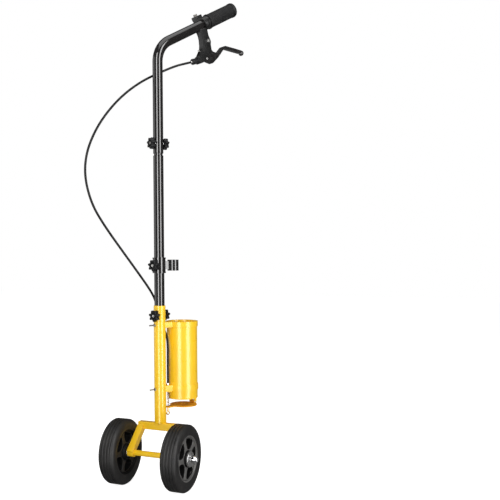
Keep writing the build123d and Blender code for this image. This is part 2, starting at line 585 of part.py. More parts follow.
def barrel_adjuster():
    knurl = Circle(6.8)
    for tooth in range(12):
        knurl -= Rot(0, 0, 30.0 * tooth) * Pos(7.4, 0) * Circle(1.2)
    head = Pos(0, 0, 6.6) * extrude(knurl, 13.4)
    shank = Cylinder(4.0, 14.5, align=(Align.CENTER, Align.CENTER, Align.MIN))
    body = head + Pos(0, 0, -7.5) * shank
    body -= Pos(0, 0, -20) * Cylinder(1.2, 80)
    body -= Pos(0, 0, 17) * Cylinder(3.0 + RUN, 10)
    keep("barrel_adjuster", ADJUSTER, body)
    ring = extrude(RegularPolygon(7.6, 12) - Circle(4.0 + RUN), 3.0)
    keep("adjuster_lock_ring", ADJUSTER, Pos(0, 0, 3.5) * ring)
    ferrule = Pos(0, 0, 12.1) * extrude(Circle(3.0) - Circle(HOUSING_R), 12.4)
    keep("upper_ferrule", ADJUSTER, ferrule)


# ---- cable housing -------------------------------------------------------------------------

def housing(points):
    """Cable housing along straight runs joined by tangent arcs."""
    knots = [Vector(*p) for p in points]
    radii = []
    for before, at, after in zip(knots, knots[1:], knots[2:]):
        run_in = at - before
        run_out = after - at
        half_turn = radians(run_in.get_angle(run_out)) / 2
        radii.append(0.45 * min(run_in.length, run_out.length) / tan(half_turn))
    path = FilletPolyline(*knots, radius=radii)
    start = Plane(origin=knots[0], z_dir=knots[1] - knots[0])
    tube = sweep(start * Circle(HOUSING_R), path)
    section = HOUSING_R ** 2 * pi
    print("radii", [round(r) for r in radii], "length", round(path.length, 1))
    print("volume", round(tube.volume), "section x length", round(section * path.length))
    return tube


def cable():
    to_column = COLUMN.inverse()
    seat = to_column * ADJUSTER * Pos(0, 0, 12.2)
    exit_point = to_column * ADJUSTER * Pos(0, 0, 36.0)
    middle = (Vector(*UPPER_ROUTE[-1]) + Vector(*LOWER_ROUTE[0])) / 2
    upper = [seat.position, exit_point.position, *UPPER_ROUTE, middle]
    keep("cable_housing_upper", COLUMN, housing(upper))
    foot = FERRULE_BOTTOM + 2.0
    lower = [middle, *LOWER_ROUTE, (WIRE_OUT, WIRE_SIDE, 262.0), (WIRE_OUT, WIRE_SIDE, foot)]
    bore = rod((WIRE_OUT, WIRE_SIDE, foot - 1), (WIRE_OUT, WIRE_SIDE, foot + BORE_DEPTH), 1.2)
    keep("cable_housing_lower", COLUMN, housing(lower) - bore)


# ---- build ---------------------------------------------------------------------------------

os.makedirs("parts", exist_ok=True)
yoke()
axle()
wheels()
post()
canister()
straps()
nozzle_plate()
pull_end()
mast()
collar()
handle()
knobs()
lever_perch()
reach_screw()
brake_lever()
barrel_adjuster()
cable()
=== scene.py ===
import json
from math import cos, pi, radians, sin, tau

import bmesh
import bpy
from mathutils import Matrix, Vector


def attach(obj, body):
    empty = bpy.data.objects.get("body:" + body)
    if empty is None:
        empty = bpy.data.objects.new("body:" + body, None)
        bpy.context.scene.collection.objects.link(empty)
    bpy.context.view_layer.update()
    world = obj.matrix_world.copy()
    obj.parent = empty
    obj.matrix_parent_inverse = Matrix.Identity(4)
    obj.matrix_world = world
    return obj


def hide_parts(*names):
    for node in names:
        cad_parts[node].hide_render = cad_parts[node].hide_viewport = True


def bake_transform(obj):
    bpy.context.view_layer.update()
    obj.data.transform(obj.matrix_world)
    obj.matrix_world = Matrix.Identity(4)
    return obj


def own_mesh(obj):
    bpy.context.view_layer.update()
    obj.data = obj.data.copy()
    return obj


# Two-wheeled marking wand. The geometry is written in millimetres in the frames of the CAD
# model (the column frame and the frame of the sloping bar) and becomes metres in piece().

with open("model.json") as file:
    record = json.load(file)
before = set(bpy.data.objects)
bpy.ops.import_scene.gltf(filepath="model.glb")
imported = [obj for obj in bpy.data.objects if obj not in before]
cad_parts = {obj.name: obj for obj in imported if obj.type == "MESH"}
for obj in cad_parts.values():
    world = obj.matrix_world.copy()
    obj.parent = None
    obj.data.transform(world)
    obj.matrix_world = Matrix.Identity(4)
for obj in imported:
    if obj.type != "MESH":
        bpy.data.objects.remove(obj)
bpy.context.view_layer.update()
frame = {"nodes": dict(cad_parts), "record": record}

MM = 0.001
ON_AXIS = 1e-6                # a radius below this is a point on the axis

POST_X = -50.0                # axis of the upright column, from the middle of the wheels
COLUMN_HEADING = 150.0        # degrees about Z that the column's X points to
CORNER_Z = 953.9              # height where the mast's axis and the bar's axis cross
BAR_SLOPE = 28.4              # rise of the sloping bar, in degrees
ADJUSTER_FOOT = (91.4, 0, -68.5)
ADJUSTER_WAY = (-24.6, 0, 4.7)


# ---- frames --------------------------------------------------------------------------------

def shift(x, y, z):
    return Matrix.Translation((x, y, z))


def turn(degrees, axis):
    return Matrix.Rotation(radians(degrees), 4, axis)


def basis(origin, z_way, x_hint=(0, 1, 0)):
    """Frame at origin whose Z runs along z_way and whose X is as near x_hint as it can be."""
    z = Vector(z_way).normalized()
    x = Vector(x_hint)
    x = (x - x.dot(z) * z).normalized()
    y = z.cross(x)
    made = Matrix((x, y, z)).transposed().to_4x4()
    made.translation = Vector(origin)
    return made


WORLD = Matrix.Identity(4)
POST = shift(POST_X, 0, 0)
COLUMN = POST @ turn(COLUMN_HEADING, "Z")
BAR = COLUMN @ shift(0, 0, CORNER_Z) @ turn(-BAR_SLOPE, "Y")
ADJUSTER = BAR @ basis(ADJUSTER_FOOT, ADJUSTER_WAY)


def heading(angle, z):
    """Frame at height z on the post axis whose Z faces the given way."""
    return shift(POST_X, 0, z) @ turn(angle, "Z") @ turn(90, "Y")


# ---- materials -----------------------------------------------------------------------------

MOTTLE_SCALE = 38.0           # patches of lighter and darker colour
ROUGHNESS_SCALE = 70.0        # patches of duller and shinier surface
WEAR_SCALE = 160.0            # breaks in the worn edges
COAT_ROUGHNESS = 0.04
LEAST_ROUGHNESS = 0.02
WHITE = (1.0, 1.0, 1.0, 1.0)


def material(name, colour, rough, metallic=0.0, coat=0.0, grain=900.0, bump=0.1, depth=0.0002,
             vary=0.08, worn=None, wear=0.0, mottle=None, spread=0.08, specular=0.5):
    """Principled surface with mottled colour, uneven roughness, fine grain and worn edges."""
    made = bpy.data.materials.new(name)
    made.use_nodes = True
    nodes = made.node_tree.nodes
    link = made.node_tree.links.new
    surface = nodes["Principled BSDF"]
    surface.inputs["Metallic"].default_value = metallic
    surface.inputs["Coat Weight"].default_value = coat
    surface.inputs["Coat Roughness"].default_value = COAT_ROUGHNESS
    surface.inputs["Specular IOR Level"].default_value = specular
    place = nodes.new("ShaderNodeTexCoord")

    def noise(scale, detail=4.0):
        texture = nodes.new("ShaderNodeTexNoise")
        texture.inputs["Scale"].default_value = scale
        texture.inputs["Detail"].default_value = detail
        link(place.outputs["Object"], texture.inputs["Vector"])
        return texture.outputs["Fac"]

    def remap(value, *limits):
        ranged = nodes.new("ShaderNodeMapRange")
        for socket, number in zip(("From Min", "From Max", "To Min", "To Max"), limits):
            ranged.inputs[socket].default_value = number
        link(value, ranged.inputs["Value"])
        return ranged.outputs["Result"]

    def mixed(factor, first, second):
        mix = nodes.new("ShaderNodeMix")
        mix.data_type = "RGBA"
        link(factor, mix.inputs["Factor"])
        for socket, value in ((mix.inputs[6], first), (mix.inputs[7], second)):
            if isinstance(value, (tuple, list)):
                socket.default_value = (*value[:3], 1.0)
            else:
                link(value, socket)
        return mix.outputs[2]

    darker = tuple(c * (1.0 - vary) for c in colour)
    lighter = mottle or tuple(min(1.0, c * (1.0 + vary)) for c in colour)
    tone = mixed(remap(noise(MOTTLE_SCALE), 0.35, 0.65, 0.0, 1.0), darker, lighter)
    if wear:
        geometry = nodes.new("ShaderNodeNewGeometry")
        edge = remap(geometry.outputs["Pointiness"], 0.53, 0.60, 0.0, 1.0)
        patch = remap(noise(WEAR_SCALE), 0.42, 0.62, 0.0, wear)
        both = nodes.new("ShaderNodeMath")
        both.operation = "MULTIPLY"
        link(edge, both.inputs[0])
        link(patch, both.inputs[1])
        tone = mixed(both.outputs[0], tone, worn)
    link(tone, surface.inputs["Base Color"])
    shiniest = max(LEAST_ROUGHNESS, rough - spread)
    dullness = remap(noise(ROUGHNESS_SCALE), 0.3, 0.7, shiniest, rough + spread)
    link(dullness, surface.inputs["Roughness"])
    relief = nodes.new("ShaderNodeBump")
    relief.inputs["Strength"].default_value = bump
    relief.inputs["Distance"].default_value = depth
    link(noise(grain, 3.0), relief.inputs["Height"])
    link(relief.outputs["Normal"], surface.inputs["Normal"])
    return made


YELLOW = material("yellow_powder_coat", (0.97, 0.59, 0.014), 0.30, coat=0.22, grain=500.0, bump=0.002,
                  vary=0.015, worn=(0.99, 0.80, 0.30), wear=0.25, spread=0.03)
BLACK = material("black_gloss_paint", (0.008, 0.007, 0.007), 0.10, coat=0.0, grain=500.0, bump=0.0015,
                 vary=0.2, worn=(0.05, 0.05, 0.05), wear=0.3, spread=0.015, specular=0.8)
ALLOY = material("black_cast_alloy", (0.010, 0.010, 0.010), 0.30, coat=0.15, grain=1500.0, bump=0.05,
                 vary=0.2, worn=(0.10, 0.10, 0.10), wear=0.5, spread=0.05, specular=0.25)
PLASTIC = material("black_moulded_plastic", (0.010, 0.010, 0.011), 0.42, grain=1800.0, bump=0.07,
                   vary=0.2, worn=(0.05, 0.05, 0.05), wear=0.4, specular=0.2)
TYRE = material("tyre_rubber", (0.012, 0.0115, 0.0115), 0.50, grain=1500.0, bump=0.12, vary=0.25,
                mottle=(0.018, 0.017, 0.016), specular=0.3)
# Painted shade: a near-black copy of the wheel plastic for the window walls and the faces turned inward.
RIM_PAINTED_SHADE = material("wheel_plastic_painted_shade", (0.005, 0.005, 0.005), 0.6, grain=1500.0, bump=0.05,
                      specular=0.1)
# Painted shade: the wheel plastic darkened for the rear web's inward faces, as shaded between the wheels.
RIM_REAR_PAINTED_SHADE = material("wheel_plastic_rear_painted_shade", (0.024, 0.021, 0.018), 0.5, grain=1500.0, bump=0.05,
                    specular=0.3)
RIM = material("wheel_plastic", (0.105, 0.102, 0.098), 0.42, grain=1500.0, bump=0.05, vary=0.15,
               worn=(0.20, 0.20, 0.19), wear=0.9, specular=0.5)
RUBBER = material("grip_rubber", (0.012, 0.012, 0.0125), 0.5, grain=2200.0, bump=0.12, vary=0.25,
                  worn=(0.06, 0.06, 0.062), wear=0.4, specular=0.2)
ZINC = material("zinc_plated_steel", (0.74, 0.74, 0.75), 0.24, metallic=1.0, grain=1600.0, bump=0.05,
                vary=0.1, mottle=(0.83, 0.81, 0.76))
CHROME = material("chrome", (0.86, 0.86, 0.87), 0.08, metallic=1.0, grain=900.0, bump=0.01, vary=0.04,
                  spread=0.03)
STEEL = material("dark_steel", (0.20, 0.19, 0.18), 0.35, metallic=1.0, grain=1600.0, bump=0.08, vary=0.15)
BRASS = material("brass", (0.78, 0.56, 0.27), 0.28, metallic=1.0, grain=1500.0, bump=0.05, vary=0.12,
                 mottle=(0.66, 0.42, 0.25))
# Painted shade: the nozzle plate's yellow paint darkened to orange, as it looks in the shadow under the
# canister.
PLATE_PAINTED_SHADE = material("plate_paint_painted_shade", (0.80, 0.34, 0.012), 0.55, coat=0.0, bump=0.05, vary=0.12,
                 mottle=(0.90, 0.46, 0.03), specular=0.1)
# Brown metallic steel for the coil spring.
SPRING = material("brown_spring_steel", (0.20, 0.115, 0.07), 0.40, metallic=0.7, grain=1500.0, bump=0.03)
HOUSING = material("cable_sheath", (0.005, 0.005, 0.005), 0.40, coat=0.0, grain=900.0, bump=0.03, vary=0.3,
                   specular=0.2)
FLOOR = material("studio_floor", (0.72, 0.72, 0.72), 0.9, grain=60.0, bump=0.01, vary=0.005)


def glow(made, seen, fill):
    """Emission of strength seen to the camera, and only of strength fill to everything else."""
    tree = made.node_tree
    surface = tree.nodes["Principled BSDF"]
    path = tree.nodes.new("ShaderNodeLightPath")
    ranged = tree.nodes.new("ShaderNodeMapRange")
    ranged.inputs["To Min"].default_value = fill
    ranged.inputs["To Max"].default_value = seen
    tree.links.new(path.outputs["Is Camera Ray"], ranged.inputs["Value"])
    tree.links.new(ranged.outputs["Result"], surface.inputs["Emission Strength"])
    surface.inputs["Emission Color"].default_value = WHITE


glow(FLOOR, seen=0.9, fill=0.12)

SLOTS = {"yellow": YELLOW, "black_paint": BLACK, "black_plastic": PLASTIC, "black_rubber": RUBBER,
         "tyre_rubber": TYRE, "black_alloy": ALLOY, "zinc": ZINC, "chrome": CHROME, "brass": BRASS,
         "cable_black": HOUSING}
NODE_SLOT = {part["node"]: part["material_slot"] for part in frame["record"]["subparts"]}
BODIES = frame["record"]["behaviour"]["bodies"]
NODE_BODY = {node: body for body, members in BODIES.items() for node in members}


# ---- mesh helpers --------------------------------------------------------------------------

def shade(bm, sharp=35.0):
    """Smooth shading with an edge wherever two faces meet at more than the given angle."""
    for face in bm.faces:
        face.smooth = True
    for edge in bm.edges:
        if len(edge.link_faces) == 2 and edge.calc_face_angle(0.0) > radians(sharp):
            edge.smooth = False


def piece(name, bm, nodes, sharp=35.0, slot=None, body=None, ride=True, finish=None):
    """Make the piece that stands for nodes from a mesh in millimetres in the world frame."""
    shade(bm, sharp)
    mesh = bpy.data.meshes.new(name)
    bmesh.ops.scale(bm, vec=(MM, MM, MM), verts=bm.verts)
    bm.to_mesh(mesh)
    bm.free()
    made = bpy.data.objects.new(name, mesh)
    bpy.context.scene.collection.objects.link(made)
    slot = slot or NODE_SLOT[nodes[0]]
    mesh.materials.append(finish or SLOTS[slot])
    if ride:
        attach(made, body or NODE_BODY[nodes[0]])
    if nodes:
        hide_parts(*nodes)
    return made


def lathe(bm, place, outline, segments=96, wave=None):
    """Turn (radius, z) points about Z into a closed ring; wave(angle, index) moves a radius."""
    rings = []
    for index, (radius, z) in enumerate(outline):
        if radius < ON_AXIS:
            rings.append([bm.verts.new(place @ Vector((0, 0, z)))])
            continue
        ring = []
        for step in range(segments):
            angle = tau * step / segments
            r = radius + (wave(angle, index) if wave else 0.0)
            ring.append(bm.verts.new(place @ Vector((r * cos(angle), r * sin(angle), z))))
        rings.append(ring)
    for first, second in zip(rings, rings[1:] + rings[:1]):
        if len(first) == 1 and len(second) == 1:
            continue
        for step in range(segments):
            after = (step + 1) % segments
            if len(first) == 1:
                corners = (first[0], second[step], second[after])
            elif len(second) == 1:
                corners = (first[step], first[after], second[0])
            else:
                corners = (first[step], first[after], second[after], second[step])
            bm.faces.new(corners)
    return bm


def rounded(outline, radius, steps=4):
    """Closed outline of (r, z) points with its corners rounded."""
    result = []
    count = len(outline)
    for index, point in enumerate(outline):
        here = Vector(point)
        before = Vector(outline[index - 1]) - here
        after = Vector(outline[(index + 1) % count]) - here
        cut = min(radius, 0.45 * before.length, 0.45 * after.length)
        if here.x < ON_AXIS or cut < 1e-3 or before.angle(after) > radians(175):
            result.append(tuple(here))
            continue
        start = here + before.normalized() * cut
        end = here + after.normalized() * cut
        for step in range(steps + 1):
            t = step / steps
            mid = start * (1 - t) ** 2 + here * 2 * t * (1 - t) + end * t ** 2
            result.append(tuple(mid))
    return result


def turned(name, nodes, place, outline, edge=0.5, segments=96, **options):
    """Piece turned about the Z axis of place."""
    bm = bmesh.new()
    lathe(bm, place, rounded(outline, edge), segments)
    bmesh.ops.recalc_face_normals(bm, faces=bm.faces)
    return piece(name, bm, nodes, **options)


def curve_mesh(curve):
    """Mesh of a curve; the curve itself is removed."""
    holder = bpy.data.objects.new("curve", curve)
    bpy.context.scene.collection.objects.link(holder)
    bpy.context.view_layer.update()
    mesh = bpy.data.meshes.new_from_object(holder.evaluated_get(bpy.context.evaluated_depsgraph_get()))
    bpy.data.objects.remove(holder)
    bpy.data.curves.remove(curve)
    return mesh


def sheet_outline(loops, half, bevel, resolution=3):
    """Mesh of a flat outline with holes, in XY, with rounded edges, from z = -half to +half."""
    curve = bpy.data.curves.new("outline", "CURVE")
    curve.dimensions = "2D"
    curve.fill_mode = "BOTH"
    curve.extrude = half - bevel
    curve.bevel_depth = bevel
    curve.bevel_resolution = resolution
    curve.offset = -bevel
    for loop in loops:
        spline = curve.splines.new("POLY")
        spline.points.add(len(loop) - 1)
        for point, (x, y) in zip(spline.points, loop):
            point.co = (x, y, 0, 1)
        spline.use_cyclic_u = True
    mesh = curve_mesh(curve)
    bm = bmesh.new()
    bm.from_mesh(mesh)
    bpy.data.meshes.remove(mesh)
    bmesh.ops.remove_doubles(bm, verts=bm.verts, dist=0.002)
    return bm


def add(bm, other, place=WORLD):
    """Copy another mesh into bm, moved by place."""
    other.transform(place)
    holder = bpy.data.meshes.new("part")
    other.to_mesh(holder)
    other.free()
    bm.from_mesh(holder)
    bpy.data.meshes.remove(holder)


def smooth_line(points, resolution):
    """Points along the quadratic NURBS curve that has the given control points."""
    curve = bpy.data.curves.new("line", "CURVE")
    curve.dimensions = "3D"
    curve.resolution_u = resolution
    spline = curve.splines.new("NURBS")
    spline.points.add(len(points) - 1)
    for point, where in zip(spline.points, points):
        point.co = (*where, 1)
    spline.order_u = 3
    spline.use_endpoint_u = True
    mesh = curve_mesh(curve)
    line = [v.co.copy() for v in mesh.vertices]
    bpy.data.meshes.remove(mesh)
    return line


def tube(bm, line, radius, sides, inner=0.0):
    """Rod along a row of points, or a pipe if inner is given; radius may be a function of 0 to 1."""
    frames = []
    side = None
    for index, here in enumerate(line):
        ahead = line[min(index + 1, len(line) - 1)]
        behind = line[max(index - 1, 0)]
        way = (ahead - behind).normalized()
        if side is None:
            side = way.orthogonal().normalized()
        side = (side - side.dot(way) * way).normalized()
        frames.append((here, side.copy(), way.cross(side)))

    def skin(reach):
        rings = []
        for index, (here, across, up) in enumerate(frames):
            r = reach(index / (len(frames) - 1)) if callable(reach) else reach
            angles = [tau * k / sides for k in range(sides)]
            rings.append([bm.verts.new(here + across * r * cos(a) + up * r * sin(a)) for a in angles])
        for first, second in zip(rings, rings[1:]):
            for k in range(sides):
                bm.faces.new((first[k], first[(k + 1) % sides], second[(k + 1) % sides], second[k]))
        return rings

    outer = skin(radius)
    if inner:
        bore = skin(inner)
        for a, b in ((outer[0], bore[0]), (bore[-1], outer[-1])):
            for k in range(sides):
                bm.faces.new((b[k], b[(k + 1) % sides], a[(k + 1) % sides], a[k]))
    else:
        bm.faces.new(list(reversed(outer[0])))
        bm.faces.new(outer[-1])
    bmesh.ops.recalc_face_normals(bm, faces=bm.faces)
    return bm


LEAST_CREASE = 32.0           # a CAD edge sharper than this, in degrees, is rounded over


def softened(node, name, edge, finish=None):
    """The CAD node's own shape with its flat faces merged and its edges rounded over."""
    bm = bmesh.new()
    bm.from_mesh(frame["nodes"][node].data)
    bmesh.ops.scale(bm, vec=(1 / MM, 1 / MM, 1 / MM), verts=bm.verts)
    bmesh.ops.remove_doubles(bm, verts=bm.verts, dist=0.01)
    bmesh.ops.dissolve_limit(bm, angle_limit=radians(0.6), verts=bm.verts, edges=bm.edges)
    creases = [e for e in bm.edges
               if len(e.link_faces) == 2 and e.calc_face_angle(0.0) > radians(LEAST_CREASE)]
    bmesh.ops.bevel(bm, geom=creases, offset=edge, segments=3, profile=0.6, affect="EDGES",
                    clamp_overlap=True, loop_slide=True)
    bmesh.ops.triangulate(bm, faces=[f for f in bm.faces if len(f.verts) > 4])
    return piece(name, bm, [node], sharp=28.0, finish=finish)


def ring_points(count, radius):
    """Points of a circle in XY."""
    return [(radius * cos(tau * k / count), radius * sin(tau * k / count)) for k in range(count)]


# ---- camera, floor and light ---------------------------------------------------------------

SENSOR_WIDTH = 36.0
FOCAL_TO_WIDTH = 789.52 / 500.0
CAMERA_PLACE = (1.5008, 0.7715, 0.5018)
CAMERA_YAW, CAMERA_PITCH, CAMERA_ROLL = -153.98, 0.15, -0.48
CAMERA_SHIFT = 0.17           # puts the lens's axis left of the middle of the picture

FLOOR_HALF = 7.0              # metres
WORLD_FILL = 0.14             # strength of the surroundings, except to the camera
TOWARD_CAMERA = Vector((0.896, 0.445, 0.0))
CAMERA_RIGHT = Vector((-0.445, 0.896, 0.0))
LIT_AXIS = Vector((-0.05, 0.0, 0.0))
HIGHEST_AIM = 0.8

# name, degrees right of the camera, distance, height, (width, height), radiance, lights up
LIGHTS = (("soft_box_left", -21.0, 1.5, 0.75, (0.52, 2.5), 8.5, "reflections"),
          ("soft_box_right", 46.0, 1.5, 0.75, (0.56, 2.5), 8.5, "reflections"),
          ("key_left", -17.0, 1.6, 0.9, (0.7, 1.8), 4.3, "colour"),
          ("key_right", 52.0, 1.6, 0.9, (0.7, 1.8), 4.3, "colour"),
          ("wall_left", -100.0, 1.9, 0.9, (2.0, 1.8), 1.0, "both"),
          ("overhead", 20.0, 0.3, 2.2, (1.4, 1.4), 1.6, "both"))


def camera():
    """Camera at the place and with the view that the photo was taken from."""
    data = bpy.data.cameras.new("camera")
    data.sensor_width = SENSOR_WIDTH
    data.lens = FOCAL_TO_WIDTH * SENSOR_WIDTH
    data.shift_x = CAMERA_SHIFT
    data.clip_start = 0.05
    holder = bpy.data.objects.new("camera", data)
    yaw, pitch, roll = radians(CAMERA_YAW), radians(CAMERA_PITCH), radians(CAMERA_ROLL)
    forward = Vector((cos(pitch) * cos(yaw), cos(pitch) * sin(yaw), sin(pitch)))
    right = forward.cross(Vector((0, 0, 1))).normalized()
    up = right.cross(forward)
    rolled_right = right * cos(roll) + up * sin(roll)
    rolled_up = up * cos(roll) - right * sin(roll)
    place = Matrix((rolled_right, rolled_up, -forward)).transposed().to_4x4()
    place.translation = Vector(CAMERA_PLACE)
    holder.matrix_world = place
    bpy.context.scene.collection.objects.link(holder)
    bpy.context.scene.camera = holder


def area_light(name, where, aim, size, power):
    """Rectangular light that the camera doesn't see."""
    data = bpy.data.lights.new(name, "AREA")
    data.shape = "RECTANGLE"
    data.size, data.size_y = size
    data.energy = power
    holder = bpy.data.objects.new(name, data)
    holder.location = where
    holder.rotation_euler = (aim - where).to_track_quat("-Z", "Y").to_euler()
    holder.visible_camera = False
    bpy.context.scene.collection.objects.link(holder)
    return holder


def studio():
    """Pale floor and surroundings, soft boxes for the reflections and key lights for the colours."""
    bm = bmesh.new()
    bmesh.ops.create_grid(bm, x_segments=8, y_segments=8, size=FLOOR_HALF)
    mesh = bpy.data.meshes.new("studio_floor")
    bm.to_mesh(mesh)
    bm.free()
    mesh.materials.append(FLOOR)
    floor = bpy.data.objects.new("studio_floor", mesh)
    bpy.context.scene.collection.objects.link(floor)
    floor.visible_shadow = False
    floor.visible_glossy = False

    world = bpy.data.worlds.new("studio")
    bpy.context.scene.world = world
    world.use_nodes = True
    nodes = world.node_tree.nodes
    link = world.node_tree.links.new
    seen = nodes.new("ShaderNodeBackground")
    seen.inputs["Color"].default_value = WHITE
    fill = nodes["Background"]
    fill.inputs["Color"].default_value = WHITE
    fill.inputs["Strength"].default_value = WORLD_FILL
    path = nodes.new("ShaderNodeLightPath")
    mix = nodes.new("ShaderNodeMixShader")
    link(path.outputs["Is Camera Ray"], mix.inputs["Fac"])
    link(fill.outputs[0], mix.inputs[1])
    link(seen.outputs[0], mix.inputs[2])
    link(mix.outputs[0], nodes["World Output"].inputs["Surface"])

    for name, azimuth, reach, height, size, radiance, gives in LIGHTS:
        out = TOWARD_CAMERA * cos(radians(azimuth)) + CAMERA_RIGHT * sin(radians(azimuth))
        where = LIT_AXIS + out * reach + Vector((0, 0, height))
        aim = LIT_AXIS + Vector((0, 0, min(height, HIGHEST_AIM)))
        light = area_light(name, where, aim, size, radiance * pi * size[0] * size[1])
        light.visible_diffuse = gives != "reflections"
        light.visible_glossy = gives != "colour"
    bpy.context.scene.view_settings.view_transform = "Standard"


# ---- wheels --------------------------------------------------------------------------------

WHEEL_R = 70.0
WHEEL_Y = 72.0
SPOKES = 5
AXLE_R = 5.0
BEARING_R = 13.0
WEB_OUTER, WEB_INNER = 43.4, 15.0    # the spoked web, from the rim's band to the hub
WINDOW_BOW = 0.62                    # 1 would give elliptical windows, 0 square-ended ones


def wheel_place(side):
    """Frame of one wheel: Z along the axle and outward, the origin at the wheel's middle."""
    return shift(0, side * WHEEL_Y, WHEEL_R) @ turn(-90 * side, "X")


def axle_place(side):
    """Frame of one end of the axle: Z outward, the origin at the middle of the axle."""
    return shift(0, 0, WHEEL_R) @ turn(-90 * side, "X")


def tyre_outline():
    """Section of the tyre in (radius, z), with four tread grooves and a stepped side wall."""
    points = [(48.0, -17.0), (50.0, -17.4), (52.0, -18.4), (57.0, -19.0), (61.5, -18.8), (65.6, -17.6),
              (68.4, -15.4), (69.8, -13.0)]
    for groove in range(4):
        z = -10.5 + 7.0 * groove
        points += [(70.0, z - 1.9), (69.7, z - 1.5), (68.4, z - 0.9), (68.4, z + 0.9), (69.7, z + 1.5),
                   (70.0, z + 1.9)]
    points += [(69.8, 13.0), (68.4, 15.4), (65.6, 17.6), (61.5, 18.8), (57.0, 19.0), (52.0, 18.4),
               (50.0, 17.4), (48.0, 17.0)]
    return points


def window_loop(index, rim_r, root_r, neck):
    """Outline of one window between two spokes neck wide: broad at the rim, narrow at the hub."""
    middle = tau * (index + 0.5) / SPOKES
    half_pitch = pi / SPOKES
    outline = []
    steps = 40
    for step in range(steps):
        t = tau * step / steps
        radial = (rim_r + root_r) / 2 + (rim_r - root_r) / 2 * cos(t)
        share = (radial - root_r) / (rim_r - root_r)
        room = radial * sin(half_pitch) - neck / 2 * cos(half_pitch)
        bow = abs(sin(t)) ** WINDOW_BOW
        wide = room * bow * (0.93 + 0.07 * share)
        outline.append((radial, wide if sin(t) >= 0 else -wide))
    return [(x * cos(middle) - y * sin(middle), x * sin(middle) + y * cos(middle)) for x, y in outline]


def spoked_web(rim_r, root_r, neck):
    """Disc with a window between each two spokes."""
    loops = [ring_points(96, WEB_OUTER), ring_points(64, WEB_INNER)]
    loops += [window_loop(k, rim_r, root_r, neck) for k in range(SPOKES)]
    return sheet_outline(loops, 7.0, 1.0)


def bearing_outline(middle):
    """Section of a ball bearing: two rings with the shield set back between them."""
    half, shield = 4.0, 3.4
    return [(5.1, middle - half), (7.2, middle - half), (7.6, middle - shield), (10.6, middle - shield),
            (11.0, middle - half), (BEARING_R, middle - half), (BEARING_R, middle + half),
            (11.0, middle + half), (10.6, middle + shield), (7.6, middle + shield), (7.2, middle + half),
            (5.1, middle + half)]


def darken(made, chosen):
    """Paint shade on the chosen faces of a rim piece: near-black window walls and faces turned away from
    the wheel's outside.
    """
    made.data.materials.append(RIM_PAINTED_SHADE)
    for face in made.data.polygons:
        if chosen(face):
            face.material_index = 1


def wheel(side, name):
    """Tyre, rim with hub and two spoked webs, and the ball bearings."""
    place = wheel_place(side)
    bm = bmesh.new()
    lathe(bm, place, tyre_outline(), 128)
    bmesh.ops.recalc_face_normals(bm, faces=bm.faces)
    piece(name + "_tread_and_wall", bm, [name + "_tyre"], sharp=50.0)

    bm = bmesh.new()
    rim_band = rounded([(48.0, -17.0), (48.0, 17.0), (45.6, 16.4), (43.2, 12.5), (42.2, 11.0),
                        (42.2, -11.0), (43.2, -12.5), (45.6, -16.4)], 0.6)
    lathe(bm, place, rim_band, 128)
    hub = rounded([(10.2, -19.0), (16.0, -19.0), (18.0, -12.0), (18.0, 13.0), (17.0, 20.4), (16.2, 21.0),
                   (BEARING_R, 21.0), (BEARING_R, 13.0), (10.2, 13.0)], 0.8)
    lathe(bm, place, hub, 64)
    add(bm, spoked_web(41.8, 19.0, 4.2), place @ shift(0, 0, 8.0))
    front = piece(name + "_spoked_rim", bm, [name + "_rim"], sharp=40.0, finish=RIM)
    # Painted shade on the window walls and on every face not turned outward.
    darken(front, lambda face: face.normal.y * side < 0.35)

    # The rear web, all of its faces in painted shade.
    bm = bmesh.new()
    add(bm, spoked_web(41.4, 19.5, 5.2), place @ shift(0, 0, -5.0))
    rear = piece(name + "_rim_back", bm, [name + "_rim"], sharp=40.0, finish=RIM_REAR_PAINTED_SHADE)
    darken(rear, lambda face: face.normal.y * side > -0.5)

    bm = bmesh.new()
    for middle in (17.0, -15.0):
        lathe(bm, place, rounded(bearing_outline(middle), 0.3), 48)
    bmesh.ops.recalc_face_normals(bm, faces=bm.faces)
    piece(name + "_ball_bearings", bm, [name + "_bearings"])


def axle_ends():
    """A washer on each face of each wheel, and a domed hexagon nut at each end of the axle."""
    bm = bmesh.new()
    for side in (1, -1):
        out = axle_place(side)
        lathe(bm, out, rounded([(AXLE_R, 93.1), (16.0, 93.1), (16.0, 95.0), (AXLE_R, 95.0)], 0.7), 64)
        lathe(bm, out, rounded([(AXLE_R, 52.0), (10.0, 52.0), (10.0, 52.9), (AXLE_R, 52.9)], 0.3), 48)
    bmesh.ops.recalc_face_normals(bm, faces=bm.faces)
    piece("washers", bm, ["axle_washers"])

    across, nut_r, dome_r, dome_z = 16.0, 8.9, 7.5, 103.9

    def hexagonal(angle, index):
        """How far the nut's flats come inside its round corners, on the two rings of its body."""
        if index not in (1, 2):
            return 0.0
        return min(across / 2 / cos((angle % (pi / 3)) - pi / 6), nut_r) - nut_r

    bm = bmesh.new()
    for side in (1, -1):
        out = axle_place(side)
        body = [(AXLE_R, 95.1), (nut_r, 95.1), (nut_r, 103.0), (8.2, 104.0), (AXLE_R, 104.0)]
        lathe(bm, out, body, 96, wave=hexagonal)
        slopes = [k * pi / 16 for k in range(1, 8)]
        dome = [(0.0, 111.4)] + [(dome_r * sin(a), dome_z + dome_r * cos(a)) for a in slopes]
        dome += [(dome_r, 103.0), (AXLE_R, 103.0), (AXLE_R, 103.6), (0.0, 103.6)]
        lathe(bm, out, dome, 64)
    bmesh.ops.recalc_face_normals(bm, faces=bm.faces)
    piece("domed_nuts", bm, ["dome_nuts"], sharp=30.0)


# ---- columns -------------------------------------------------------------------------------

